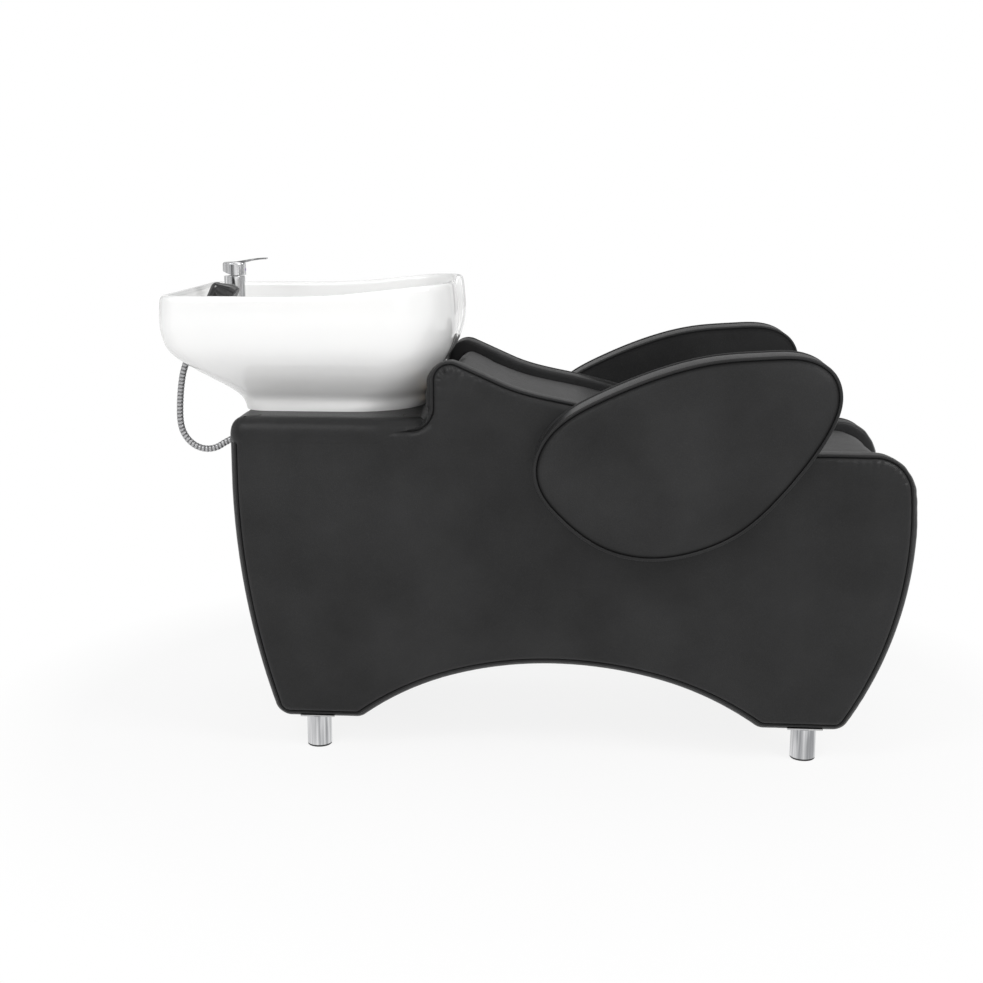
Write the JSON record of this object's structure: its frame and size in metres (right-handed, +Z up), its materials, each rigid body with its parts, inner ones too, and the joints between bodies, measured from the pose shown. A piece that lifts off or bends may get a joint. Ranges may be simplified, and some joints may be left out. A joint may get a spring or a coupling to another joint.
{
  "type": "hair washing bed",
  "caption": "Salon hair washing lounger: upholstered bed on short round legs with padded side arms, a ceramic basin, a lever mixer and a hand shower.",
  "frame": {"origin": "centre of the bounding box's footprint, on the floor", "axes": "+X from the basin to the front of the seat, +Y to the left of someone lying with the head in the basin, +Z up"},
  "size_m": [1.5036, 0.728, 0.9981],
  "materials": {
    "upholstery": "semi-matt, fine grain",
    "timber": "sawn",
    "chrome": "polished",
    "steel": "zinc plated",
    "rubber": "matt",
    "ceramic": "gloss white glaze",
    "plastic": "moulded",
    "gloss_black": "gloss",
    "indicator": "gloss",
    "hose": "ribbed"
  },
  "bodies": {
    "base": {"arm_bolts": "steel", "arm_core_left": "timber", "arm_core_right": "timber", "arm_pad_left": "upholstery", "arm_pad_right": "upholstery", "arm_piping_left": "upholstery", "arm_piping_right": "upholstery", "basin": "ceramic", "basin_bolts": "steel", "bottom_rails": "timber", "front_board": "timber", "front_pad": "upholstery", "glides": "rubber", "holder_nut": "plastic", "holder_sleeve": "chrome", "hose_grommet": "rubber", "hose_guide": "plastic", "leg_fixings": "steel", "leg_front_left": "chrome", "leg_front_right": "chrome", "leg_rear_left": "chrome", "leg_rear_right": "chrome", "mixer_base": "chrome", "mixer_body": "chrome", "mixer_nut": "steel", "rail_back": "timber", "rail_seat": "timber", "rear_panel": "upholstery", "rear_panel_screws": "steel", "riser_board": "timber", "riser_pad": "upholstery", "seat_cushion": "upholstery", "seat_deck": "timber", "shelf_board": "timber", "shelf_pad": "upholstery", "shelf_rails": "timber", "shower_hose": "hose", "side_border_left": "upholstery", "side_border_right": "upholstery", "side_cover_left": "upholstery", "side_cover_right": "upholstery", "side_frame_left": "timber", "side_frame_right": "timber", "side_lining_left": "upholstery", "side_lining_right": "upholstery", "side_piping_left": "upholstery", "side_piping_right": "upholstery", "trap_body": "plastic", "trap_cup": "plastic", "waste_flange": "chrome", "waste_nut": "plastic", "waste_seal": "rubber"},
    "mixer_hub": {"mixer_hub": "chrome", "mixer_pin": "steel"},
    "mixer_lever": {"mixer_lever": "chrome", "mixer_indicator": "indicator"},
    "handset": {"handset_body": "gloss_black", "handset_face": "plastic", "hose_tail": "hose"},
    "strainer": {"hair_strainer": "chrome"}
  },
  "joints": [
    {"name": "mixer_swivel", "type": "hinge", "parent": "base", "child": "mixer_hub", "pos_m": [-0.6465, 0, 0.963], "axis": [0, 0, 1], "range_deg": [-50, 50]},
    {"name": "mixer_lift", "type": "hinge", "parent": "mixer_hub", "child": "mixer_lever", "pos_m": [-0.6465, 0, 0.963], "axis": [0, -1, 0], "range_deg": [0, 20]},
    {"name": "handset_pull", "type": "slide", "parent": "base", "child": "handset", "axis": [0.4226, 0, 0.9063], "range_m": [0, 0.06]},
    {"name": "strainer_lift", "type": "slide", "parent": "base", "child": "strainer", "axis": [0, 0, 1], "range_m": [0, 0.04]}
  ]
}
